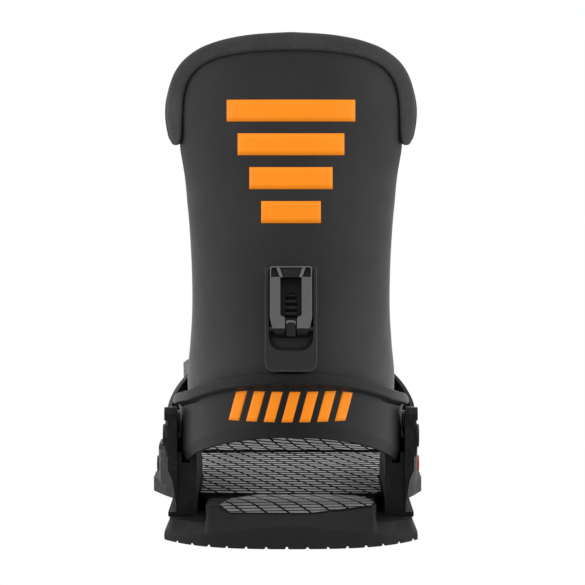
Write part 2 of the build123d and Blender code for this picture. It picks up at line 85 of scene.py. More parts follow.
# ---- materials -----------------------------------------------------------------------
class Nodes:
    """A short way to build a node material around one Principled shader."""

    def __init__(self, name):
        self.mat = bpy.data.materials.new(name)
        self.mat.use_nodes = True
        self.tree = self.mat.node_tree
        self.bsdf = self.tree.nodes["Principled BSDF"]
        self.coord = self.add("ShaderNodeTexCoord").outputs["Object"]

    def add(self, kind, **values):
        node = self.tree.nodes.new(kind)
        for key, value in values.items():
            setattr(node, key, value)
        return node

    def wire(self, a, b):
        self.tree.links.new(a, b)

    def noise(self, scale, detail=2.0, rough=0.5, coord=None):
        node = self.add("ShaderNodeTexNoise")
        node.inputs["Scale"].default_value = scale
        node.inputs["Detail"].default_value = detail
        node.inputs["Roughness"].default_value = rough
        self.wire(coord or self.coord, node.inputs["Vector"])
        return node.outputs["Fac"]

    def ramp(self, fac, *stops):
        """Colour ramp through (position, colour) stops."""
        node = self.add("ShaderNodeValToRGB")
        els = node.color_ramp.elements
        while len(els) < len(stops):
            els.new(0.5)
        for el, (pos, col) in zip(els, stops):
            el.position = pos
            el.color = (*col, 1.0)
        self.wire(fac, node.inputs["Fac"])
        return node.outputs["Color"]

    def math(self, op, a, b=0.0):
        node = self.add("ShaderNodeMath", operation=op)
        for i, v in enumerate((a, b)):
            if isinstance(v, (int, float)):
                node.inputs[i].default_value = v
            else:
                self.wire(v, node.inputs[i])
        return node.outputs[0]

    def mix(self, fac, a, b):
        node = self.add("ShaderNodeMix", data_type="RGBA")
        for key, v in (("Factor", fac), ("A", a), ("B", b)):
            sock = [s for s in node.inputs if s.name == key and (s.type == "RGBA" or key == "Factor")][0]
            if isinstance(v, (int, float)):
                sock.default_value = v
            elif isinstance(v, tuple):
                sock.default_value = (*v, 1.0)
            else:
                self.wire(v, sock)
        return [s for s in node.outputs if s.type == "RGBA"][0]

    def map_range(self, v, a, b, c, d):
        """Value v, taken from the range a to b into the range c to d."""
        node = self.add("ShaderNodeMapRange")
        for key, x in (("From Min", a), ("From Max", b), ("To Min", c), ("To Max", d)):
            node.inputs[key].default_value = x
        self.wire(v, node.inputs["Value"])
        return node.outputs["Result"]

    def bump(self, *layers):
        """Stacked bump layers: (height socket, strength, distance in mm)."""
        normal = None
        for height, strength, distance in layers:
            node = self.add("ShaderNodeBump")
            node.inputs["Strength"].default_value = strength
            node.inputs["Distance"].default_value = distance * MM
            self.wire(height, node.inputs["Height"])
            if normal:
                self.wire(normal, node.inputs["Normal"])
            normal = node.outputs["Normal"]
        self.wire(normal, self.bsdf.inputs["Normal"])

    def set(self, **values):
        """Set or wire sockets of the Principled shader by name."""
        for key, value in values.items():
            sock = self.bsdf.inputs[key.replace("_", " ")]
            if isinstance(value, (int, float)):
                sock.default_value = value
            else:
                self.wire(value, sock)


def moulded(name, color, rough, grain=2400.0, depth=0.05, strength=0.35, mottle=0.2, edge_wear_and_highlight=0.3, spec=0.3,
            speck=0.25, coat=0.0):
    """Moulded plastic or rubber: spark texture, slight mottle, paler edges from rubbed wear and a painted
    edge highlight.
    """
    n = Nodes(name)
    dark = tuple(c * (1 - mottle) for c in color)
    lite = tuple(c * (1 + mottle) for c in color)
    base = n.ramp(n.noise(38.0, 4.0, 0.6), (0.3, dark), (0.7, lite))
    if speck:
        fac = n.map_range(n.noise(grain * 0.6, 1.0), 0.50, 0.68, 0.0, speck)
        base = n.mix(fac, base, tuple(min(1, c * 2.2 + 0.015) for c in color))
    # convex edges paler by pointiness and patchy noise: partly rubbed wear, partly painted edge highlight
    if edge_wear_and_highlight:
        geo = n.add("ShaderNodeNewGeometry")
        edge = n.map_range(geo.outputs["Pointiness"], 0.53, 0.64, 0.0, edge_wear_and_highlight)
        scuff = n.map_range(n.noise(170.0, 4.0, 0.7), 0.42, 0.62, 0.15, 1.0)
        base = n.mix(n.math("MULTIPLY", edge, scuff), base, tuple(min(1, c * 3.0 + 0.035) for c in color))
    n.set(Base_Color=base)
    lo, hi = rough
    n.set(Roughness=n.map_range(n.noise(110.0, 4.0, 0.6), 0.3, 0.7, lo, hi), Specular_IOR_Level=spec)
    if coat:
        n.set(Coat_Weight=coat, Coat_Roughness=0.25)
    n.bump((n.noise(70.0, 2.0), 0.08, 0.2), (n.noise(grain, 2.0, 0.6), strength, depth))
    return n.mat


def metal(name, color, rough, brushed=0.0):
    """Cast or turned metal: fine brushing or grain, small scratches."""
    n = Nodes(name)
    mapping = n.add("ShaderNodeMapping")
    mapping.inputs["Scale"].default_value = (1.0, 1.0 + 14.0 * brushed, 1.0 + 14.0 * brushed)
    n.wire(n.coord, mapping.inputs["Vector"])
    grain = n.noise(900.0, 3.0, 0.6, coord=mapping.outputs["Vector"])
    scratch = n.map_range(n.noise(260.0, 6.0, 0.75), 0.56, 0.66, 0.0, 0.35)
    base = n.ramp(grain, (0.3, tuple(c * 0.8 for c in color)),
                  (0.7, tuple(min(1, c * 1.15) for c in color)))
    base = n.mix(scratch, base, tuple(min(1, c * 1.6 + 0.02) for c in color))
    n.set(Base_Color=base, Metallic=1.0)
    n.set(Roughness=n.map_range(n.noise(140.0, 4.0, 0.6), 0.3, 0.7, rough - 0.06, rough + 0.08))
    n.bump((grain, 0.25, 0.03), (scratch, 0.2, 0.03))
    return n.mat


def woven(name, color, scale=900.0):
    """Close woven pack cloth: crossing yarns, slight slub, soft sheen."""
    n = Nodes(name)
    split = n.add("ShaderNodeSeparateXYZ")
    n.wire(n.coord, split.inputs[0])
    k = 2 * math.pi * scale
    diag = n.math("ADD", split.outputs[1], split.outputs[2])
    warp = n.math("SINE", n.math("MULTIPLY", split.outputs[0], k))
    weft = n.math("SINE", n.math("MULTIPLY", diag, k))
    cell = n.map_range(n.math("MULTIPLY", warp, weft), -1.0, 1.0, 0.0, 1.0)
    slub = n.noise(420.0, 3.0, 0.6)
    base = n.ramp(cell, (0.15, tuple(c * 0.55 for c in color)), (0.85, tuple(c * 1.35 for c in color)))
    base = n.mix(n.map_range(slub, 0.4, 0.7, 0.0, 0.4), base, tuple(c * 1.9 + 0.004 for c in color))
    n.set(Base_Color=base, Sheen_Weight=0.12, Sheen_Roughness=0.45, Specular_IOR_Level=0.25)
    n.set(Roughness=n.map_range(slub, 0.3, 0.7, 0.72, 0.9))
    n.bump((slub, 0.15, 0.15), (cell, 0.55, 0.16))
    return n.mat


def printed(name, color):
    """Pad-printed ink: even colour, faint screen grain, slight gloss."""
    n = Nodes(name)
    base = n.ramp(n.noise(60.0, 3.0, 0.5), (0.3, tuple(c * 0.96 for c in color)),
                  (0.7, tuple(min(1, c * 1.03) for c in color)))
    n.set(Base_Color=base, Specular_IOR_Level=0.2)
    n.set(Roughness=n.map_range(n.noise(150.0, 3.0), 0.3, 0.7, 0.42, 0.52))
    n.bump((n.noise(2600.0, 1.0), 0.15, 0.02))
    return n.mat


SHELL = moulded("satin_shell", (0.0115, 0.0115, 0.0118), (0.46, 0.54), grain=3000.0, depth=0.025,
                strength=0.2, speck=0.12)
CUP = moulded("satin_cup", (0.0058, 0.0058, 0.0060), (0.44, 0.52), grain=3000.0, depth=0.025, strength=0.2,
              speck=0.1, spec=0.24)
# darker copy of the cup plastic for the cup's down-facing chamfer: painted shade
CHAMFER_SHADE = moulded("cup_chamfer_painted_shade", (0.0040, 0.0040, 0.0042), (0.50, 0.58), grain=3000.0, depth=0.025,
                  strength=0.2, speck=0.1)
BASE = moulded("glass_filled_nylon", (0.0062, 0.0062, 0.0064), (0.46, 0.58), grain=2200.0, depth=0.045,
               spec=0.12)
RUBBER = moulded("soft_rubber", (0.0085, 0.0085, 0.0088), (0.60, 0.72), grain=1500.0, depth=0.08, edge_wear_and_highlight=0.12,
                 spec=0.25)
BUMPER = moulded("bushing_rubber", (0.0100, 0.0100, 0.0103), (0.70, 0.82), grain=3400.0, depth=0.10,
                 strength=0.5, edge_wear_and_highlight=0.1, spec=0.2, speck=0.2)
# pale grey copy of the black rubber for the tread block tops: painted grazing sheen
TREAD_SHEEN = moulded("tread_rubber_painted_sheen", (0.120, 0.120, 0.122), (0.34, 0.44), grain=1600.0, depth=0.05, edge_wear_and_highlight=0.15,
                spec=0.7)
# light grey strip for the lean block's outer edge: painted edge highlight
EDGE_HIGHLIGHT = moulded("edge_painted_highlight", (0.042, 0.042, 0.043), (0.40, 0.50), grain=3000.0, depth=0.02, mottle=0.1,
               speck=0.05)
# near-black rubber, darker than the pads, for the tread grooves: painted shade
GROOVE_SHADE = moulded("tread_groove_painted_shade", (0.0030, 0.0030, 0.0032), (0.62, 0.74), grain=1600.0, depth=0.05, edge_wear_and_highlight=0.0,
                 spec=0.15)
EVA = moulded("rim_elastomer", (0.0330, 0.0330, 0.0335), (0.74, 0.88), grain=2600.0, depth=0.10,
              strength=0.6, edge_wear_and_highlight=0.0, spec=0.2, speck=0.28)
GLOSS = moulded("ladder_plastic", (0.0060, 0.0060, 0.0062), (0.24, 0.34), grain=2600.0, depth=0.02,
                spec=0.4, coat=0.1)
# darker plastic for the recessed faces of the lean adjuster and the lever's lower faces: painted shade
POCKET_SHADE = moulded("lever_pocket_painted_shade", (0.0065, 0.0065, 0.0068), (0.5, 0.6), edge_wear_and_highlight=0.1, spec=0.25)
GREY = moulded("lever_satin", (0.088, 0.089, 0.091), (0.40, 0.50), grain=3000.0, depth=0.02, mottle=0.06,
               speck=0.06, spec=0.35)
# lighter copy of the lever grey for its top lip, ribs, side edges and knuckle cap: painted highlight
GREY_HIGHLIGHT = moulded("lever_painted_highlight", (0.105, 0.106, 0.108), (0.40, 0.50), grain=3000.0, depth=0.02, mottle=0.06,
                speck=0.06)
RED = moulded("red_trim", (0.62, 0.045, 0.035), (0.38, 0.48), grain=2600.0, depth=0.03, mottle=0.06,
              edge_wear_and_highlight=0.1, speck=0.05)
ALLOY = metal("cast_alloy", (0.16, 0.165, 0.17), 0.42)
STEEL = metal("blackened_steel", (0.055, 0.056, 0.058), 0.36, brushed=0.3)
INK = printed("orange_ink", (0.95, 0.262, 0.007))
CLOTH = woven("pack_cloth", (0.020, 0.020, 0.022))
THREAD = woven("seam_thread", (0.055, 0.056, 0.060), scale=1600.0)


# ---- mesh builders -------------------------------------------------------------------
def add_object(name, mesh, body, *mats, slot=None):
    """Object of a mesh that moves with a body."""
    o = bpy.data.objects.new(name, mesh)
    bpy.context.scene.collection.objects.link(o)
    for m in mats:
        o.data.materials.append(m)
    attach(o, body)
    return o


def finish_mesh(bm, name, body, *mats, slot=None, place=None, flat=False):
    """Weld, orient and place a built mesh and make its object."""
    bmesh.ops.remove_doubles(bm, verts=bm.verts, dist=1e-6)
    bmesh.ops.recalc_face_normals(bm, faces=bm.faces)
    if place:
        bmesh.ops.transform(bm, matrix=place, verts=bm.verts)
    mesh = bpy.data.meshes.new(name)
    for f in bm.faces:
        f.smooth = not flat
    bm.to_mesh(mesh)
    bm.free()
    return add_object(name, mesh, body, *mats, slot=slot)


def modify(o, kind, **values):
    """Add a modifier with the given settings."""
    m = o.modifiers.new(kind.lower(), kind)
    for k, v in values.items():
        setattr(m, k, v)
    return o


def soften(o, width, segments=2, angle=30):
    """Round the edges sharper than an angle; width is in millimetres."""
    modify(o, "BEVEL", width=width * MM, segments=segments, limit_method="ANGLE",
           angle_limit=math.radians(angle))
    return modify(o, "WEIGHTED_NORMAL", keep_sharp=True)


def skin(bm, rows):
    """Capped tube of quads through rows of points, each row a closed section; returns its side faces."""
    verts = [[bm.verts.new(p) for p in row] for row in rows]
    n = len(rows[0])
    faces = []
    for a, b in zip(verts, verts[1:]):
        for i in range(n):
            j = (i + 1) % n
            faces.append(bm.faces.new((a[i], a[j], b[j], b[i])))
    bm.faces.new(verts[0][::-1])
    bm.faces.new(verts[-1])
    return faces


def slab(bm, loops, d0, d1, axes=(0, 2, 1)):
    """Plate between two depths from an outer loop and hole loops."""
    edges = []
    for loop in loops:
        vs = []
        for a, b in loop:
            co = [0, 0, 0]
            co[axes[0]], co[axes[1]], co[axes[2]] = a * MM, b * MM, d0 * MM
            vs.append(bm.verts.new(co))
        edges += [bm.edges.new((vs[i], vs[(i + 1) % len(vs)])) for i in range(len(vs))]
    got = bmesh.ops.triangle_fill(bm, use_beauty=True, use_dissolve=True, edges=edges)
    faces = [g for g in got["geom"] if isinstance(g, bmesh.types.BMFace)]
    ext = bmesh.ops.extrude_face_region(bm, geom=faces, use_keep_orig=True)
    shift = Vector((0, 0, 0))
    shift[axes[2]] = (d1 - d0) * MM
    bmesh.ops.translate(bm, vec=shift, verts=[g for g in ext["geom"] if isinstance(g, bmesh.types.BMVert)])


def round_corners(points, radius, steps=5):
    """A closed outline with its corners rounded; radius may be one number or one per corner."""
    out = []
    n = len(points)
    for i, p in enumerate(points):
        r = radius[i] if isinstance(radius, (list, tuple)) else radius
        if r <= 0:
            out.append(p)
            continue
        p, a, b = Vector(p), Vector(points[i - 1]), Vector(points[(i + 1) % n])
        u, w = (a - p).normalized(), (b - p).normalized()
        r = min(r, (a - p).length * 0.49, (b - p).length * 0.49)
        s, e = p + u * r, p + w * r
        for k in range(steps + 1):
            t = k / steps
            q = s * (1 - t) ** 2 + p * 2 * t * (1 - t) + e * t * t
            out.append((q.x, q.y))
    return out


def flipped(loop):
    """Mirror image of a run of points, in the order that continues it."""
    return [(-x, y) for x, y in loop[::-1]]


def mirrored(half):
    """Closed outline from one of its halves."""
    return half + flipped(half)


def every(step):
    """Evenly spaced groove lines that cover any pad here."""
    n = int(170 / step)
    return [k * step for k in range(-n, n + 1)]


def tread(name, outline, h, body, families, place, depth):
    """Pad h thick, cut depth deep into blocks by families of grooves.

    A family is its direction in degrees, the distances of its lines and the width of a groove.
    """
    smallest = 1.2
    bm = bmesh.new()
    face = bm.faces.new([bm.verts.new(V(x, y, 0)) for x, y in outline])
    ext = bmesh.ops.extrude_face_region(bm, geom=[face], use_keep_orig=True)
    up = [g for g in ext["geom"] if isinstance(g, bmesh.types.BMVert)]
    bmesh.ops.translate(bm, vec=V(0, 0, h - depth), verts=up)
    for angle, lines, width in families:
        nx, ny = -math.sin(math.radians(angle)), math.cos(math.radians(angle))
        for line in lines:
            for d in (line - width / 2, line + width / 2):
                bmesh.ops.bisect_plane(bm, geom=bm.verts[:] + bm.edges[:] + bm.faces[:], dist=1e-7,
                                       plane_co=V(nx * d, ny * d, 0), plane_no=(nx, ny, 0))
    bmesh.ops.recalc_face_normals(bm, faces=bm.faces)

    def in_groove(c):
        for angle, lines, width in families:
            d = (-math.sin(math.radians(angle)) * c.x + math.cos(math.radians(angle)) * c.y) / MM
            if min(abs(d - line) for line in lines) < width / 2:
                return True
        return False

    top = [f for f in bm.faces if f.normal.z > 0.9 and f.calc_center_median().z > 0
           and f.calc_area() > smallest * MM * MM and not in_groove(f.calc_center_median())]
    # block tops take material 1, the pale rubber: painted sheen
    for f in bmesh.ops.extrude_discrete_faces(bm, faces=top)["faces"]:
        c = f.calc_center_median()
        f.material_index = 1
        for v in f.verts:
            v.co.z += depth * MM
            v.co.x, v.co.y = lerp(c.x, v.co.x, 0.97), lerp(c.y, v.co.y, 0.97)
    for v in bm.verts:
        v.co = place(v.co.x / MM, v.co.y / MM, v.co.z / MM)
    # material 0 on the groove floors and walls is the darker rubber: painted shade
    o = finish_mesh(bm, name, body, GROOVE_SHADE, TREAD_SHEEN, slot="rubber", flat=True)
    modify(o, "BEVEL", width=0.15 * MM, segments=2, limit_method="ANGLE", angle_limit=math.radians(40))
    return o


# ---- shared shapes -------------------------------------------------------------------
# highback wall: level, half width, rear centre, front edge of the side wings
SEC = [(44, 54.4, -121.4, -54), (58, 54.4, -121.4, -54), (72, 54.4, -121.4, -60), (86, 53.9, -120.9, -72),
       (100, 52.3, -118.9, -79), (118, 51.0, -115.8, -83), (136, 51.0, -112.6, -84),
       (154, 51.8, -109.5, -83), (170, 53.1, -106.7, -81), (186, 55.4, -103.9, -78.5),
       (200, 59.0, -101.4, -75.5), (214, 62.2, -99.0, -73), (230, 62.9, -96.2, -71.5),
       (262, 60.0, -90.6, -70)]
LEVELS = [[(s[0], s[k]) for s in SEC] for k in (1, 2, 3)]
# half outlines of the soft rim, outer and inner edge, from its tip to the crown
RIM = [(60.4, 203.0), (61.5, 203.8), (62.4, 205.4), (63.6, 208), (65.0, 216), (65.0, 224), (63.5, 231.6),
       (61.7, 237), (59, 242), (54.7, 247), (47.6, 252), (39.8, 255.2), (30.5, 257.6), (18.0, 259.4),
       (0, 260.4)]
RIM_IN = [(58.8, 203.0), (57.3, 203.8), (56.5, 205.4), (56.1, 208), (55.8, 216), (55.5, 224), (54.6, 230),
          (52.8, 235.4), (49.6, 240), (45, 243.8), (38.5, 246.8), (34.0, 248.0), (27.0, 249.3),
          (15.0, 250.6), (0, 251.1)]


def section(z, off=0.0):
    """Half width, rear centre and front edge of the highback wall at a level."""
    w, rear, edge = (smooth_at(t, z) for t in LEVELS)
    return w - off, rear + off, edge


def wall_at(t, z, off=0.0):
    """Point of the highback wall at an angle round its section, off millimetres inward."""
    w, rear, edge = section(z, off)
    return V(w * math.cos(t), edge - (edge - rear) * math.sin(t), z)


def highback_at(x, z, off=0.0):
    """The same wall at a given width and level."""
    w, rear, edge = section(z, off)
    c = max(-0.9995, min(0.9995, x / w))
    return V(x, edge - (edge - rear) * math.sqrt(1 - c * c), z)


# heel cup: outer radius and the depth of its centre
CUP_R = 58.3
CUP_MID = -68


def cup_at(x, z, off=0.0):
    """Rear of the heel cup at a given width, off millimetres outward."""
    r = CUP_R - off
    return V(x, CUP_MID - math.sqrt(max(0.0, r * r - x * x)), z)


def resample(points, n):
    """n + 1 smooth points along a run, evenly by index."""
    cols = [[(i, p[k]) for i, p in enumerate(points)] for k in range(len(points[0]))]
    return [tuple(smooth_at(c, (len(points) - 1) * i / n) for c in cols) for i in range(n + 1)]


def by_length(points, n, where):
    """n + 1 points along a run, evenly by their distance in space."""
    run = [0.0]
    for a, b in zip(points, points[1:]):
        run.append(run[-1] + (where(*b) - where(*a)).length)
    cols = [list(zip(run, [p[k] for p in points])) for k in range(2)]
    return [tuple(curve_at(c, run[-1] * i / n) for c in cols) for i in range(n + 1)]


def two_sided(bm, outer, inner):
    """Closed solid between two grids of points."""
    a = [[bm.verts.new(p) for p in row] for row in outer]
    b = [[bm.verts.new(p) for p in row] for row in inner]
    m, n = len(a), len(a[0])
    for i in range(m - 1):
        for j in range(n - 1):
            bm.faces.new((a[i][j], a[i][j + 1], a[i + 1][j + 1], a[i + 1][j]))
            bm.faces.new((b[i][j], b[i + 1][j], b[i + 1][j + 1], b[i][j + 1]))
    ring = ([(0, j) for j in range(n)] + [(i, n - 1) for i in range(1, m)]
            + [(m - 1, j) for j in range(n - 2, -1, -1)] + [(i, 0) for i in range(m - 2, 0, -1)])
    for (i, j), (p, q) in zip(ring, ring[1:] + ring[:1]):
        bm.faces.new((a[i][j], a[p][q], b[p][q], b[i][j]))


# ---- highback ------------------------------------------------------------------------
def theta_of(y, z):
    """Angle round the wall at a depth and level."""
    w, rear, edge = section(z)
    return math.asin(max(0.0, min(1.0, (edge - y) / (edge - rear))))


def theta_x(x, z):
    """Angle round the wall at a width and level."""
    return math.acos(max(-1.0, min(1.0, x / section(z)[0])))


FRONT_EDGE = [(58, -59.2), (63, -60.0), (72, -64.0), (84, -71.0), (100, -78.4), (103, -80)]
SIDE_X = [(172, 53.4), (177, 53.6), (184.7, 54.3), (192.5, 55.4), (201.3, 56.9), (208, 57.0)]
side_run = [(theta_of(smooth_at(FRONT_EDGE, z), z), z) for z in range(58, 102, 2)]
side_run += [(0.0, z) for z in range(104, 172, 4)]
side_run += [(theta_x(min(smooth_at(SIDE_X, z), section(z)[0]), z), z) for z in range(172, 209, 3)]
top_run = []
for x, z in resample(RIM_IN[3:], 40):
    x += 0.9 * math.cos(math.atan2(z - 208, 40))
    top_run.append((theta_x(x, z + 0.7), z + 0.7))
top_run[0] = side_run[-1]
LOW_EDGE = [(-59.2, 58), (-60.2, 53.5), (-63.5, 50.4), (-68, 49.2), (-77, 49.6), (-90, 51.2), (-101, 54.9),
            (-112, 59.8), (-118, 62.6), (-120.4, 63.8), (-121.2, 64.2), (-121.4, 64.3)]
low_run = [(theta_of(y, z), z) for y, z in resample(LOW_EDGE, 60)]
low_run[-1] = (math.pi / 2, 64.3)
top_run[-1] = (math.pi / 2, top_run[-1][1])
ACROSS, UP = 34, 84
SIDE = by_length(side_run, UP, wall_at)
TOP = by_length(top_run, ACROSS, wall_at)
LOW = by_length(low_run, ACROSS, wall_at)
MIDDLE = [(math.pi / 2, lerp(LOW[-1][1], TOP[-1][1], k / UP)) for k in range(UP + 1)]


def patch(i, j):
    """Blend of the four edges; i runs from the side edge to the centre, j from foot to crown."""
    s, v = i / ACROSS, j / UP
    return tuple((1 - v) * LOW[i][k] + v * TOP[i][k] + (1 - s) * SIDE[j][k] + s * MIDDLE[j][k]
                 - ((1 - s) * (1 - v) * LOW[0][k] + (1 - s) * v * TOP[0][k] + s * (1 - v) * LOW[ACROSS][k]
                    + s * v * TOP[ACROSS][k])
                 for k in (0, 1))


def wall_rows(off):
    """Both halves of the wall, off millimetres inward."""
    rows = []
    for j in range(UP + 1):
        half = [patch(i, j) for i in range(ACROSS + 1)]
        other = [wall_at(math.pi - t, z, off) for t, z in half[-2::-1]]
        rows.append([wall_at(t, z, off) for t, z in half] + other)
    return rows


bm = bmesh.new()
two_sided(bm, wall_rows(0.0), wall_rows(4.0))
shell = finish_mesh(bm, "highback_wall", "highback", SHELL, slot="shell_plastic")
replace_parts(soften(shell, 0.9, 3, 40), "highback_shell")

# soft rim: one profile carried round the horseshoe
PROFILE = [(1.0, 0.3), (1.0, -0.6), (0.98, -1.3), (0.93, -1.9), (0.86, -2.25), (0.75, -2.4), (0.6, -2.4),
           (0.42, -2.4), (0.3, -2.4), (0.2, -2.3), (0.12, -2.0), (0.06, -1.4), (0.02, -0.6), (0, 0.5),
           (0, 1.8), (0, 3.2), (0, 4.6), (0.02, 5.6), (0.08, 6.4), (0.18, 6.9), (0.35, 7.0), (0.6, 6.9),
           (0.8, 6.5), (0.94, 5.8), (1.0, 4.8), (1.02, 3.4), (1.02, 1.6)]
TIP_GROWTH = (0.5, 0.8, 0.94, 1.0)
pairs = resample([o + i for o, i in zip(RIM, RIM_IN)], 84)
half = []
for k, (xo, zo, xi, zi) in enumerate(pairs):
    grow = TIP_GROWTH[min(k, 3)]
    half.append([(lerp(xo, xi, q), lerp(zo, zi, q), 2.3 + (off - 2.3) * grow) for q, off in PROFILE])
rows = [[highback_at(x, z, off) for x, z, off in st] for st in half]
rows += [[highback_at(-x, z, off) for x, z, off in st] for st in half[-2::-1]]
bm = bmesh.new()
skin(bm, rows)
rim = finish_mesh(bm, "soft_rim", "highback", EVA, slot="rubber")
modify(rim, "SUBSURF", levels=1, render_levels=1)
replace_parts(rim, "highback_rim")


def stripe(name, corners, at, body, nx, nz):
    """Printed bar on a curved face: four corners (x, z), low left first, then round."""
    (a, b), (c, d), (e, f), (g, h) = corners
    rows = {}
    for off in (-0.12, 0.05):
        rows[off] = [[at(lerp(lerp(a, c, i / nx), lerp(g, e, i / nx), j / nz),
                         lerp(lerp(b, d, i / nx), lerp(h, f, i / nx), j / nz), off) for i in range(nx + 1)]
                     for j in range(nz + 1)]
    bm = bmesh.new()
    two_sided(bm, rows[-0.12], rows[0.05])
    return finish_mesh(bm, name, body, INK, slot="shell_plastic")


for k, w in enumerate((15.0, 21.0, 27.0, 32.6)):
    z = 164 + 17.0 * k
    stripe(f"highback_mark_{k + 1}", [(-w, z), (w, z), (w, z + 11.0), (-w, z + 11.0)], highback_at,
           "highback", 24, 4)
for k in range(7):
    x = -31.3 + 8.85 * k
    stripe(f"cup_mark_{k + 1}", [(x, 65.8), (x + 5.4, 65.8), (x + 9.5, 81.0), (x + 4.1, 81.0)], cup_at,
           "base", 4, 8)

# ---- heel cup ------------------------------------------------------------------------
# levels of its upper and lower edge along the depth
CUP_TOP = [(-130, 90.6), (-118, 86.1), (-108, 81.8), (-100, 78.6), (-92, 76.6), (-87, 75.6), (-40, 60.72),
           (-34, 58.3), (-28, 55.3), (-22, 51.6), (-19.4, 49.2), (-18.1, 46.2)]
CUP_LOW = [(-135, 61), (-128, 59.4), (-112, 52.5), (-84, 40), (-21.5, 20.8), (-19.4, 22.0), (-18.1, 24.6)]


def cup_profile(y, turn=0.0):
    """Section of the cup; turn is the sine of the angle round the heel, 0 on the straight sides."""
    lip = max(0.0, min(1.0, (-71.6 - y) / 2.2))
    f = CUP_R + 3.7 * lip * lip * (3 - 2 * lip)
    top = [(55.3, -0.6), (55.6, -0.15), (56.2, 0), (f - 0.7, 0), (f - 0.2, -0.2), (f, -0.7), (f, -4.5),
           (f - 0.2, -5.0), (f - 0.9, -5.5), (f - 2.6, -5.9), (CUP_R, -6.6), (CUP_R, -9)]
    low = [(CUP_R, 6.0), (58.25, 5.4), (58.0, 4.9), (56.7, 0.5), (56.4, 0.12), (56.0, 0), (55.6, 0.05)]
    out = []
    for table, run in ((CUP_LOW, [(55.3, 0.3)]), (CUP_TOP, top), (CUP_LOW, low)):
        for r, dz in run:
            if table is CUP_TOP and r > 56.3:
                r = max(r, CUP_R)
            at = CUP_MID - r * turn if turn else y
            z = curve_at(table, at) + dz
            out.append((r, at, max(z, 69.4) if r > 58.35 and at > -88 else z))
    return out


ARM = (-18.1, -18.6, -19.4, -20.4, -21.5, -24, -28, -34, -40, -46, -52, -58, -63, -67.9)
rows = []
for y in ARM:
    rows.append([V(r, y, z) for r, _, z in cup_profile(y)])
STEPS_ROUND = 72
for k in range(1, STEPS_ROUND):
    a = math.pi * k / STEPS_ROUND
    sa = math.sin(a)
    rows.append([V(r * math.cos(a), at, z) for r, at, z in cup_profile(CUP_MID - CUP_R * sa, sa)])
for y in ARM[::-1]:
    rows.append([V(-r, y, z) for r, _, z in cup_profile(y)])
bm = bmesh.new()
# the chamfer faces of the band get the darker copy of the cup plastic: painted shade
for k, f in enumerate(skin(bm, rows)):
    chamfer_shade = 14 <= k % len(rows[0]) <= 17
    f.material_index = int(chamfer_shade)
cup = finish_mesh(bm, "heel_cup_band", "base", CUP, CHAMFER_SHADE, slot="shell_plastic")
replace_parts(soften(cup, 0.25, 2, 50), "heel_cup")

# ---- heel bushing --------------------------------------------------------------------
CREASE = [(-65.4, 3.0), (-43, 7.2), (-23, 10.4), (0, 12.0), (23, 10.4), (43, 7.2), (65.4, 3.0)]
FLOOR_REAR = [(0, -98.15), (44, -98.15), (60.6, -93.7), (62.9, -90.1), (63.1, -84.0), (66, -84.0)]
HEEL_TOP = [(-110, 15.4), (-107.5, 16.2), (-98, 19.1), (-94, 19.8), (-88, 20.1), (-74, 20.2)]


def bumper_loop(x, lug):
    """Section of the bushing at a width; lug 1 on a lug, 0 in the gap between two."""
    ax = abs(x)
    rear = -118 + 1.84e-3 * x * x + 9.5e-7 * x ** 4
    zc = smooth_at(CREASE, x)
    raised = max(0.0, min(1.0, (44.0 - ax) / 2.2))
    raised = raised * raised * (3 - 2 * raised)
    side_top = curve_at([(0, 10.7), (62.6, 10.7), (65.4, 3.8)], ax)
    yf = curve_at(FLOOR_REAR, ax)
    yt = min(lerp(min(rear + 6.0, yf - 3.2), -107.8, raised), yf - 0.8)
    zt = lerp(side_top, curve_at(HEEL_TOP, yt) - 0.3, raised)
    zf = lerp(side_top, curve_at(HEEL_TOP, yf) - 0.9, raised)
    zt = max(zt, zc + 0.3)
    zf = max(zf, zc + 0.3)
    z0 = 1.15 * (1 - lug)
    y0 = rear + 0.5 * (1 - lug)
    wall = max(z0 + 1.0, zc - 0.9)
    out = [(y0 + 0.9, z0), (y0 + 0.2, z0 + 0.2), (y0, z0 + 0.6), (rear, min(2.4, wall - 0.1)), (rear, wall),
           (rear + 0.12, zc - 0.35), (rear + 0.5, zc + 0.1)]
    a = Vector((rear + 0.5, zc + 0.1))
    b = Vector((yt, zt))
    for t in (0.25, 0.5, 0.75, 0.93):
        bulge = Vector((-0.5 * math.sin(math.pi * t), 0.0))
        out.append(tuple(a.lerp(b, t) + bulge))
    out += [(lerp(yt, yf, 0.06), lerp(zt, zf, 0.06) + 0.02), (lerp(yt, yf, 0.5), lerp(zt, zf, 0.5)),
            (yf, zf), (yf, z0)]
    return [V(x, y, z) for y, z in out]


bm = bmesh.new()
HALF_W = 65.4
rows = []
for k in range(219):
    x = -HALF_W + 2 * HALF_W * k / 218
    run = x / 10.5 + 0.15 * math.copysign((abs(x) / 65) ** 3, x) * 6
    f = abs((run + 0.2) % 1.0 - 0.5)
    rows.append(bumper_loop(x, max(0.0, min(1.0, (0.47 - f) / 0.04))))
skin(bm, rows)
bumper = finish_mesh(bm, "heel_bushing", "base", BUMPER, slot="rubber")
soften(bumper, 0.3, 2, 42)
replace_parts(bumper, "rear_pad")
bm = bmesh.new()
DISC_R = 45.2
edge = [(-62, -92), (-44, -97.9), (44, -97.9), (62, -92), (58, -64), (40, -46)]
for deg in range(40, -41, -8):
    a = math.radians(deg)
    edge.append((DISC_R * math.sin(a), -DISC_R * math.cos(a)))
edge += [(-40, -46), (-58, -64)]
slab(bm, [edge], 0.0, 2.9, axes=(0, 1, 2))
tongue = finish_mesh(bm, "bushing_tongue", "base", BUMPER, slot="rubber", flat=True)
soften(tongue, 0.3, 1, 40)

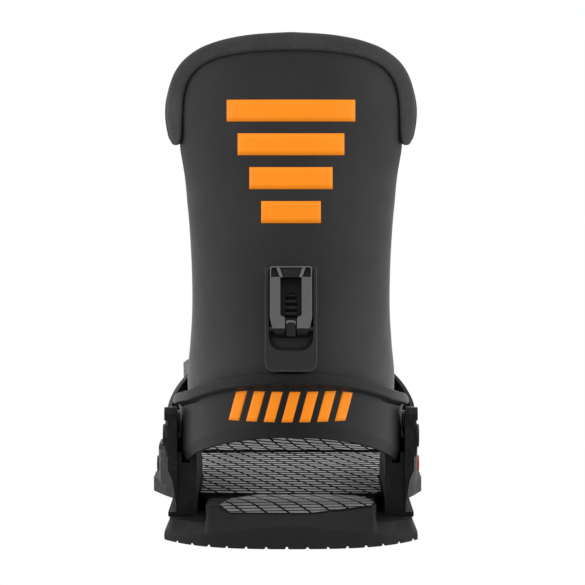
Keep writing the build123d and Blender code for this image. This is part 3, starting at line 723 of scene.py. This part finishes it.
# ---- treads --------------------------------------------------------------------------
bm = bmesh.new()
foot = round_corners([(-42, -98), (42, -98), (44, -94), (43, -74.5), (-43, -74.5), (-44, -94)], 1.5)
slab(bm, [foot], 11.0, 18.7, axes=(0, 1, 2))
body = finish_mesh(bm, "heel_pad_body", "base", BUMPER, slot="rubber", flat=True)
soften(body, 0.6, 3, 40)
# direction of the slanted grooves of footbed and ramp
FALL = -65.5
HEEL_EDGE = [(-36.4, -98.6), (-31, -106.5), (9, -107.2), (41, -99), (42.5, -95), (38, -79.5), (20, -74.8),
             (-18, -75.5), (-31, -86)]
HEEL_LINES = [-107.6, -104.5, -101.5, -98.4, -94.6, -88.4, -81.2, -74]
heel = tread("heel_tread", HEEL_EDGE, 2.4, "base", ((2, HEEL_LINES, 0.85), (-54, every(9.1), 1.0)),
             lambda x, y, z: V(x, y, curve_at(HEEL_TOP, y) - 2.0 + z), 1.5)
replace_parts(heel, "heel_footpad")
BED_EDGE = mirrored([(45, -70), (48, -67), (48.4, -12), (51.6, -4), (54, 20), (55.5, 44), (53, 66),
                     (50, 69)])
BED_LINES = [3.8 + d for d in every(7.6)]
bed = tread("footbed_tread", BED_EDGE, 9.4, "base", ((-3, BED_LINES, 3.1), (FALL, every(9.1), 1.2)),
            lambda x, y, z: V(x, y, 11 + z), 1.9)
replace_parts(bed, "main_footbed")
RAMP_TOP = [(70, 18.95), (84, 20.55), (104, 25.05), (122, 29.05), (126, 29.6)]
RAMP_EDGE = mirrored([(53, 72.2), (53, 87.5), (47, 105.5), (36, 122.5)])
ramp_pad = tread("ramp_tread", RAMP_EDGE, 2.2, "toe_ramp", ((-14, every(4.6), 1.6),
                                                            (FALL, every(9.1), 1.1)),
                 lambda x, y, z: V(x, y, curve_at(RAMP_TOP, y) + z), 1.2)
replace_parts(ramp_pad, "toe_ramp_pad")

# ---- forward lean adjuster -----------------------------------------------------------
LEAN = Matrix.Translation(V(0, -120.65, 89.9)) @ Matrix.Rotation(math.radians(-9.9), 4, "X")
BLOCK_W, BLOCK_H = 12.9, 51.4


def lean_piece(name, body, mat, *parts, bevel=0.3, shape=None, segments=2):
    """Plates given as (loops, inner depth, outer depth) in the adjuster's own frame."""
    bm = bmesh.new()
    for loops, d0, d1 in parts:
        slab(bm, loops, d0, d1)
    if shape:
        shape(bm)
    mats = mat if isinstance(mat, tuple) else (mat,)
    o = finish_mesh(bm, name, body, *mats, slot="shell_plastic", place=LEAN, flat=True)
    return soften(o, bevel, segments, 35)


def u_frame(inner, floor, radii):
    """Outline of the block's outer wall, open at the top; inner is the half width inside."""
    return round_corners([(-BLOCK_W, 0), (BLOCK_W, 0), (BLOCK_W, BLOCK_H), (inner, BLOCK_H), (inner, floor),
                          (-inner, floor), (-inner, BLOCK_H), (-BLOCK_W, BLOCK_H)], radii, 10)


outer = round_corners([(-BLOCK_W, 0), (BLOCK_W, 0), (BLOCK_W, BLOCK_H), (-BLOCK_W, BLOCK_H)],
                      [5.2, 5.2, 1.0, 1.0], 8)
window = round_corners([(-2.9, 25), (2.9, 25), (2.9, 39.5), (-2.9, 39.5)], [0.4, 0.4, 2.85, 2.85], 8)
frame_out = u_frame(11.0, 10.2, [5.2, 5.2, 0.8, 0.3, 7.5, 7.5, 0.3, 0.8])
# back floor of the block's recess in the dark plastic: painted shade
lean_piece("lean_block_floor", "lean_slider", POCKET_SHADE, ([outer, window], -4.25, -5.25), bevel=0.15)
lean_frame = lean_piece("lean_block_frame", "lean_slider", SHELL, ([frame_out], -5.2, -11.4), bevel=0.5,
                        segments=3)
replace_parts(lean_frame, "lean_block")
lean_piece("lean_block_feet", "lean_slider", SHELL,
           ([round_corners([(6.0, 0.6), (12.9, 4.4), (12.9, 51), (6.0, 51)], 0.5)], -0.6, -4.3),
           ([round_corners([(-6.0, 0.6), (-12.9, 4.4), (-12.9, 51), (-6.0, 51)], 0.5)], -0.6, -4.3),
           bevel=0.3)
shelf = round_corners([(-10.9, 10.3), (10.9, 10.3), (10.9, 30), (9.9, 30), (9.4, 20), (8.5, 14.8),
                       (-8.5, 14.8), (-9.4, 20), (-9.9, 30), (-10.9, 30)],
                       [7.4, 7.4, 0.2, 0.2, 2.0, 4.0, 4.0, 2.0, 0.2, 0.2], 8)
# inner step of the recess in the dark plastic: painted shade
lean_piece("lean_block_step", "lean_slider", POCKET_SHADE, ([shelf], -5.2, -5.95), bevel=0.2)
sill = [(-9.4, 17.2), (-9.4, 15.9), (-8.9, 14.4), (-7.9, 13.1), (-6.5, 12.3), (-4.6, 11.9)]
lean_piece("lean_block_sill", "lean_slider", SHELL, ([mirrored(sill)], -5.2, -6.15), bevel=0.3)
outline = u_frame(12.5, 0.4, [5.2, 5.2, 0.1, 0.1, 4.8, 4.8, 0.1, 0.1])
# thin lighter band round the block's front edge: painted edge highlight
lean_piece("lean_block_outline", "lean_slider", EDGE_HIGHLIGHT, ([outline], -10.9, -11.45), bevel=0.1)
knuckle = round_corners([(-2.35, 17.2), (2.35, 17.2), (2.35, 25.2), (-2.35, 25.2)], [0.7, 0.7, 1.9, 1.9], 6)
# knuckle between the lever arms in the dark plastic: painted shade
lean_piece("lean_knuckle", "lean_slider", POCKET_SHADE, ([knuckle], -5.2, -12.2), bevel=0.5, segments=3)
cap = round_corners([(-2.4, 22.9), (-1.5, 24.2), (1.5, 24.2), (2.4, 22.9), (2.4, 25.2), (-2.4, 25.2)],
                    [0.1, 0.6, 0.6, 0.1, 1.9, 1.9], 6)
# knuckle cap in the lighter grey: painted highlight on its top arc
lean_piece("lean_knuckle_cap", "lean_slider", GREY_HIGHLIGHT, ([cap], -10.0, -12.35), bevel=0.2)

arm = [(3.0, 17.65), (6.2, 17.65), (8.3, 19.0), (9.4, 22), (10.4, 26.5), (10.4, 46.7), (5.3, 46.7),
       (5.3, 28.1), (4.9, 27.4), (3.5, 27.0), (3.0, 26.2)]


def round_foot(bm):
    """The lower end of the lever turns about its pin."""
    for level in (21.2, 20.2, 19.3, 18.6, 18.1, 17.8):
        bmesh.ops.bisect_plane(bm, geom=bm.verts[:] + bm.edges[:] + bm.faces[:], dist=1e-7,
                               plane_co=V(0, 0, level), plane_no=(0, 0, 1))
    for v in bm.verts:
        d = 21.2 - v.co.z / MM
        if d > 0.01:
            half = math.sqrt(max(0.25, 3.55 ** 2 - d * d))
            v.co.y = (-9.1 + math.copysign(half, v.co.y / MM + 9.1)) * MM
    # faces below the pin level take material 1, the dark plastic: painted shade on the lever's lower faces
    for f in bm.faces:
        f.material_index = int(f.calc_center_median().z < 21.3 * MM)


# grey arms, with the dark plastic on their lower faces as painted shade
lever_arms = lean_piece("lean_lever_arms", "lean_lever", (GREY, POCKET_SHADE),
                        ([round_corners(arm, 0.4, 3)], -6.25, -13.05),
                        ([round_corners(flipped(arm), 0.4, 3)], -6.25, -13.05),
                        bevel=0.25, shape=round_foot)
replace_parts(lever_arms, "lean_lever")
head = round_corners([(-10.4, 46.6), (10.4, 46.6), (10.4, 52.0), (-10.4, 52.0)], [0.0, 0.0, 1.2, 1.2], 4)
# head face recessed inside the lip and ribs, in the dark plastic: painted shade
lean_piece("lean_lever_head", "lean_lever", POCKET_SHADE, ([head], -6.25, -11.2), bevel=0.2)
lip = round_corners([(-10.4, 46.6), (-9.85, 46.6), (-9.85, 51.4), (9.85, 51.4), (9.85, 46.6), (10.4, 46.6),
                     (10.4, 52.0), (-10.4, 52.0)], [0, 0, 0.9, 0.9, 0, 0, 1.2, 1.2], 4)
rib = [(4.0, 46.6), (5.5, 46.6), (7.3, 51.5), (5.7, 51.5)]
# lip and ribs of the head in the lighter grey: painted highlight on the top edges
lean_piece("lean_lever_ribs", "lean_lever", GREY_HIGHLIGHT, ([lip], -11.15, -13.05), ([rib], -11.15, -12.9),
           ([flipped(rib)], -11.15, -12.9), bevel=0.15)
side = [(10.0, 27), (10.4, 26.5), (10.4, 46.7), (10.0, 46.7)]
# side edges of the lever arms in the lighter grey: painted edge highlight
lean_piece("lean_lever_outline", "lean_lever", GREY_HIGHLIGHT, ([side], -12.6, -13.1),
           ([flipped(side)], -12.6, -13.1), bevel=0.08)
thumb = round_corners([(-3.9, 46.65), (3.9, 46.65), (5.6, 51.3), (-5.6, 51.3)], 0.4, 3)
# thumb plate between the ribs in the dark plastic: painted shade
lean_piece("lean_lever_thumb", "lean_lever", POCKET_SHADE, ([thumb], -11.15, -12.1), bevel=0.3)


# ---- straps --------------------------------------------------------------------------
def arch(width, height, deg, off):
    """Point on the rounded arch that a strap follows, off millimetres outward."""
    def at(d):
        t = math.radians(d)
        c, s = math.cos(t), math.sin(t)
        return math.copysign(abs(c) ** 0.92, c) * width, math.copysign(abs(s) ** 0.92, s) * height
    d = min(max(deg, 0.6), 179.4)
    (x0, z0), (x1, z1) = at(d - 0.5), at(d + 0.5)
    tx, tz = x1 - x0, z1 - z0
    n = math.hypot(tx, tz)
    x, z = at(deg) if 0 <= deg <= 180 else at(0)
    return x + off * tz / n, z - off * tx / n


def strap_run(bm, width, height, d0, d1, steps, loop):
    """Sweep along the arch; loop(deg, t) gives the section as (y, off) points."""
    rows = []
    for k in range(steps + 1):
        d = lerp(d0, d1, k / steps)
        ring = [(arch(width, height, d, off), y) for y, off in loop(d, k / steps)]
        rows.append([V(x, y, z) for (x, z), y in ring])
    skin(bm, rows)


def dress_strap(tag, width, height, pivot, tilt, pad_t, wide, skip, half):
    """Cushion, binding, stitches, cover and ribs of one strap."""
    place = Matrix.Translation(V(0, *pivot)) @ Matrix.Rotation(math.radians(-(90 - tilt)), 4, "X")
    body = f"{tag}_strap"
    o1 = pad_t + 0.05
    o2 = o1 + 4.1
    o4 = o2 + 2.05
    grow = [(8, 0.60), (height * 0.45, 0.72), (height * 0.8, 1.0), (height + 30, 1.0)]
    slim = [(8, 0.48), (height * 0.45, 0.58), (height * 0.8, 0.80), (height + 30, 0.80)]

    def half_at(table, deg):
        return wide * curve_at(table, arch(width, height, deg, 0)[1])

    def ends_of(t, n):
        return min(1.0, math.sqrt(max(0.0, min(t, 1 - t) * n)) * 0.9 + 0.1)

    def pad_loop(deg, t):
        w = half_at(grow, deg) * (0.9 + 0.1 * ends_of(t, 16))
        e = ends_of(t, 14)
        wave = 0.55 * abs(math.cos(math.radians((deg - 90) * 9))) ** 0.35
        outer = [(-1.0, 0.5), (-0.985, 0.80), (-0.94, 1.02), (-0.87, 1.08), (-0.80, 0.96), (-0.75, 0.93),
                 (-0.5, 0.97), (0, 0.97), (0.5, 0.97), (0.75, 0.93), (0.80, 0.96), (0.87, 1.08),
                 (0.94, 1.02), (0.985, 0.80), (1.0, 0.5)]
        inner = [(0.985, 0.22), (0.93, 0.08), (0.84, 0.02), (0.72, 0.16), (0.62, 0.02), (0.42, -0.02),
                 (0.30, 0.14), (0.18, 0.0), (0, -0.02), (-0.18, 0.0), (-0.30, 0.14), (-0.42, -0.02),
                 (-0.62, 0.02), (-0.72, 0.16), (-0.84, 0.02), (-0.93, 0.08), (-0.985, 0.22)]
        pts = [(y * w, pad_t * lerp(0.5, f, e)) for y, f in outer]
        pts += [(y * w,
                 pad_t * lerp(0.5, f, e) + (0.5 - wave) * 0.9 * (1 - abs(y)) ** 0.3) for y, f in inner]
        return pts

    bm = bmesh.new()
    strap_run(bm, width, height, skip, 180 - skip, 150, pad_loop)
    pad = finish_mesh(bm, f"{tag}_cushion", body, CLOTH, slot="cushion", place=place)
    modify(pad, "SUBSURF", levels=1, render_levels=1)
    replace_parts(pad, f"{tag}_pad")

    # binding tape along both edges, with its stitches
    for edge, sign in (("heel", -1), ("toe", 1)):
        bm = bmesh.new()
        rows = []
        for k in range(121):
            t = k / 120
            d = lerp(skip + 1.5, 178.5 - skip, t)
            w = half_at(grow, d) * (0.9 + 0.1 * ends_of(t, 16))
            ring = []
            for q in range(10):
                a = 2 * math.pi * q / 10
                x, z = arch(width, height, d, pad_t * 0.5 + 1.9 * math.sin(a))
                ring.append(V(x, sign * (w - 0.5 + 1.0 * math.cos(a)), z))
            rows.append(ring)
        skin(bm, rows)
        finish_mesh(bm, f"{tag}_binding_{edge}", body, THREAD, slot="cushion", place=place)
        bm = bmesh.new()
        n = int(width * 2.9 / 3.6)
        for k in range(n):
            d = lerp(skip + 4, 176 - skip, k / (n - 1))
            w = half_at(grow, d) * 0.805
            if w < half_at(slim, d) + 0.6:
                continue
            a, b = [arch(width, height, d + u, pad_t * 0.99) for u in (-0.75, 0.75)]
            mid = arch(width, height, d, pad_t * 0.99 + 0.45)
            pts = [V(a[0], sign * (w - 0.3), a[1]), V(a[0], sign * (w + 0.3), a[1]),
                   V(b[0], sign * (w + 0.3), b[1]), V(b[0], sign * (w - 0.3), b[1])]
            vs = [bm.verts.new(p) for p in pts]
            c = bm.verts.new(V(mid[0], sign * w, mid[1]))
            bm.faces.new(vs[::-1])
            for i in range(4):
                bm.faces.new((vs[i], vs[(i + 1) % 4], c))
        if bm.verts:
            finish_mesh(bm, f"{tag}_stitches_{edge}", body, THREAD, slot="cushion", place=place)
        else:
            bm.free()

    def shell_loop(deg, t):
        w = half_at(slim, deg) * ends_of(t, 40)
        rise = o1 + (o2 - o1) * min(1.0, 0.45 + ends_of(t, 22))
        flat = max(0.0, min(1.0, (w - half - 1.5) / 4.0))
        g = 1.3 * flat
        pts = [(-1, o1 + 0.1), (-1, rise - 1.5), (-0.985, rise - 0.6), (-0.95, rise - 0.12), (-0.92, rise),
               (-0.84, rise), (-0.82, rise - g), (-0.70, rise - g), (-0.68, rise), (0.68, rise),
               (0.70, rise - g), (0.82, rise - g), (0.84, rise), (0.92, rise), (0.95, rise - 0.12),
               (0.985, rise - 0.6), (1, rise - 1.5), (1, o1 + 0.1), (0.96, o1), (0, o1), (-0.96, o1)]
        return [(y * w, off) for y, off in pts]

    bm = bmesh.new()
    strap_run(bm, width, height, skip + 4, 176 - skip, 110, shell_loop)
    cover = finish_mesh(bm, f"{tag}_cover", body, SHELL, slot="shell_plastic", place=place)
    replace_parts(soften(cover, 0.25, 2, 40), f"{tag}_shell")

    # raised ribs on the riveted strap
    bm = bmesh.new()
    for y in (-half + 1.6, 0.0, half - 1.6):
        span = (8, 52) if y else (10, 50)
        strap_run(bm, width, height, span[0], span[1], 40, lambda d, t: [
            (y - 0.8 * ends_of(t, 30), o4 - 0.05), (y - 0.6 * ends_of(t, 30), o4 + 0.55 * ends_of(t, 30)),
            (y + 0.6 * ends_of(t, 30), o4 + 0.55 * ends_of(t, 30)), (y + 0.8 * ends_of(t, 30), o4 - 0.05)])
    finish_mesh(bm, f"{tag}_link_ribs", body, BASE, slot="shell_plastic", place=place)


dress_strap("ankle", 54.9, 82.0, (-53.0, 48.5), 20.0, 5.5, 27.0, 27, 11.0)
dress_strap("toe", 55.3, 66.0, (34.0, 19.5), 46.0, 4.5, 21.0, 27, 8.1)

# ---- highback cushion ----------------------------------------------------------------
SOFT = [(98, 41.0), (102, 43.6), (108, 44), (196, 44), (206, 48.2), (214, 50.6), (226, 50.2), (234, 46.8),
        (239.6, 40.8), (243.6, 31.5), (245.8, 18), (246.6, 6)]
nx, nz = 64, 110
outer_rows, inner_rows = [], []
for j in range(nz + 1):
    v = j / nz
    outer_row, inner_row = [], []
    for i in range(nx + 1):
        s = 2 * i / nx - 1
        top = lerp(246.6, 228, abs(s) ** 4)
        low = 98 + 1.5 * abs(s) ** 3
        z = lerp(low, top, v)
        x = s * min(curve_at(SOFT, z) if z > 99 else 41.5, section(z)[0] - 8)
        edge = min(1 - abs(s), 0.0 + v * 1.6, (1 - v) * 1.6)
        crown = min(1.0, max(0.0, edge * 7.0)) ** 0.5
        chan = 1.0
        for c in (0.18, 0.36, 0.54, 0.72):
            chan = min(chan, abs(v - c - 0.02 * s * s) / 0.012)
        if 0.08 < v < 0.88:
            chan = min(chan, abs(abs(s) - 0.42) / 0.03)
        chan = max(0.25, min(1.0, chan)) ** 0.6
        outer_row.append(highback_at(x, z, 4.1))
        inner_row.append(highback_at(x, z, 4.6 + 5.2 * crown * chan))
    outer_rows.append(outer_row)
    inner_rows.append(inner_row)
bm = bmesh.new()
two_sided(bm, outer_rows, inner_rows)
cushion = finish_mesh(bm, "highback_cushion", "highback", CLOTH, slot="cushion")
modify(cushion, "SUBSURF", levels=1, render_levels=1)
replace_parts(cushion, "highback_pad")

# ---- carried CAD nodes ---------------------------------------------------------------
def dress(node, mat, bevel, segments=2):
    """Material, smooth shading and rounded edges on a CAD node."""
    o = NODES[node]
    o.data.materials.clear()
    o.data.materials.append(mat)
    for p in o.data.polygons:
        p.use_smooth = True
    modify(o, "BEVEL", width=bevel * MM, segments=segments, limit_method="ANGLE",
           angle_limit=math.radians(35))
    modify(o, "WEIGHTED_NORMAL", keep_sharp=True)


for name in NODES:
    if NODES[name].hide_render:
        continue
    if "bolt" in name or "pin" in name or "rivet" in name or "spring" in name or "nut" in name:
        dress(name, STEEL, 0.2)
    elif "buckle" in name or name.endswith(("_lever", "_release")):
        dress(name, ALLOY, 0.35, 3)
    elif "ladder" in name or "rack" in name:
        dress(name, GLOSS, 0.12)
    elif "pad" in name:
        dress(name, RUBBER, 0.4)
    else:
        dress(name, BASE, 0.4)
NODES["toe_bolt_r"].data.materials[0] = RED


# ---- light, camera -------------------------------------------------------------------
def area(name, loc, target, size, power):
    """Square area lamp aimed at a target."""
    light = bpy.data.lights.new(name, "AREA")
    light.energy = power
    light.size = size
    o = bpy.data.objects.new(name, light)
    bpy.context.scene.collection.objects.link(o)
    o.location = loc
    o.rotation_euler = (Vector(target) - Vector(loc)).to_track_quat("-Z", "Y").to_euler()


world = bpy.data.worlds.new("studio")
bpy.context.scene.world = world
world.use_nodes = True
tree = world.node_tree


def world_node(kind, *inputs, **values):
    """Node of the world with its first inputs set or wired."""
    node = tree.nodes.new(kind)
    for key, value in values.items():
        setattr(node, key, value)
    for sock, value in zip(node.inputs, inputs):
        if isinstance(value, (int, float)):
            sock.default_value = value
        else:
            tree.links.new(value, sock)
    return node


def world_math(op, *inputs, clamp=False):
    """Result of a math node of the world."""
    return world_node("ShaderNodeMath", *inputs, operation=op, use_clamp=clamp).outputs[0]


# soft panels: overhead, both sides, and a low one in front of the toe
x, y, z = world_node("ShaderNodeSeparateXYZ", world_node("ShaderNodeTexCoord").outputs["Generated"]).outputs
over = world_math("MULTIPLY", world_math("MAXIMUM", z, 0.0), 0.66)
sides = world_math("MULTIPLY", world_math("POWER", world_math("ABSOLUTE", x), 1.4), 1.8)
low = world_math("MULTIPLY", world_math("MAXIMUM", y, 0.0), world_math("SUBTRACT", 1.0,
                                                                       world_math("ABSOLUTE", z),
                                                                       clamp=True))
narrow = world_math("POWER", world_math("SUBTRACT", 1.0, world_math("ABSOLUTE", x), clamp=True), 1.6)
low = world_math("MULTIPLY", world_math("MULTIPLY", world_math("POWER", low, 2.0), narrow), 2.6)
panels = world_math("ADD", world_math("ADD", over, sides), world_math("ADD", low, 0.17))
seen = world_node("ShaderNodeLightPath").outputs["Is Camera Ray"]
panels = world_math("MAXIMUM", world_math("MULTIPLY", panels, world_math("SUBTRACT", 1.0, seen)), seen)
background = tree.nodes["Background"]
background.inputs["Color"].default_value = (1, 1, 1, 1)
tree.links.new(panels, background.inputs["Strength"])
area("key", (-0.8, -1.1, 1.3), (0, 0, 0.1), 1.0, 3.0)
area("fill", (0.9, -0.9, 0.8), (0, 0, 0.1), 1.0, 2.0)

# camera behind the heel, tilted down at the binding
camera = bpy.data.objects.new("camera", bpy.data.cameras.new("camera"))
bpy.context.scene.collection.objects.link(camera)
bpy.context.scene.camera = camera
camera.location = V(0, -1118, 205)
camera.rotation_euler = (math.radians(85.702), 0, 0)
camera.data.sensor_width = 36.0
camera.data.lens = 123.80
camera.data.shift_x = 0.0026
camera.data.clip_start = 0.01
bpy.context.scene.view_settings.view_transform = "Standard"
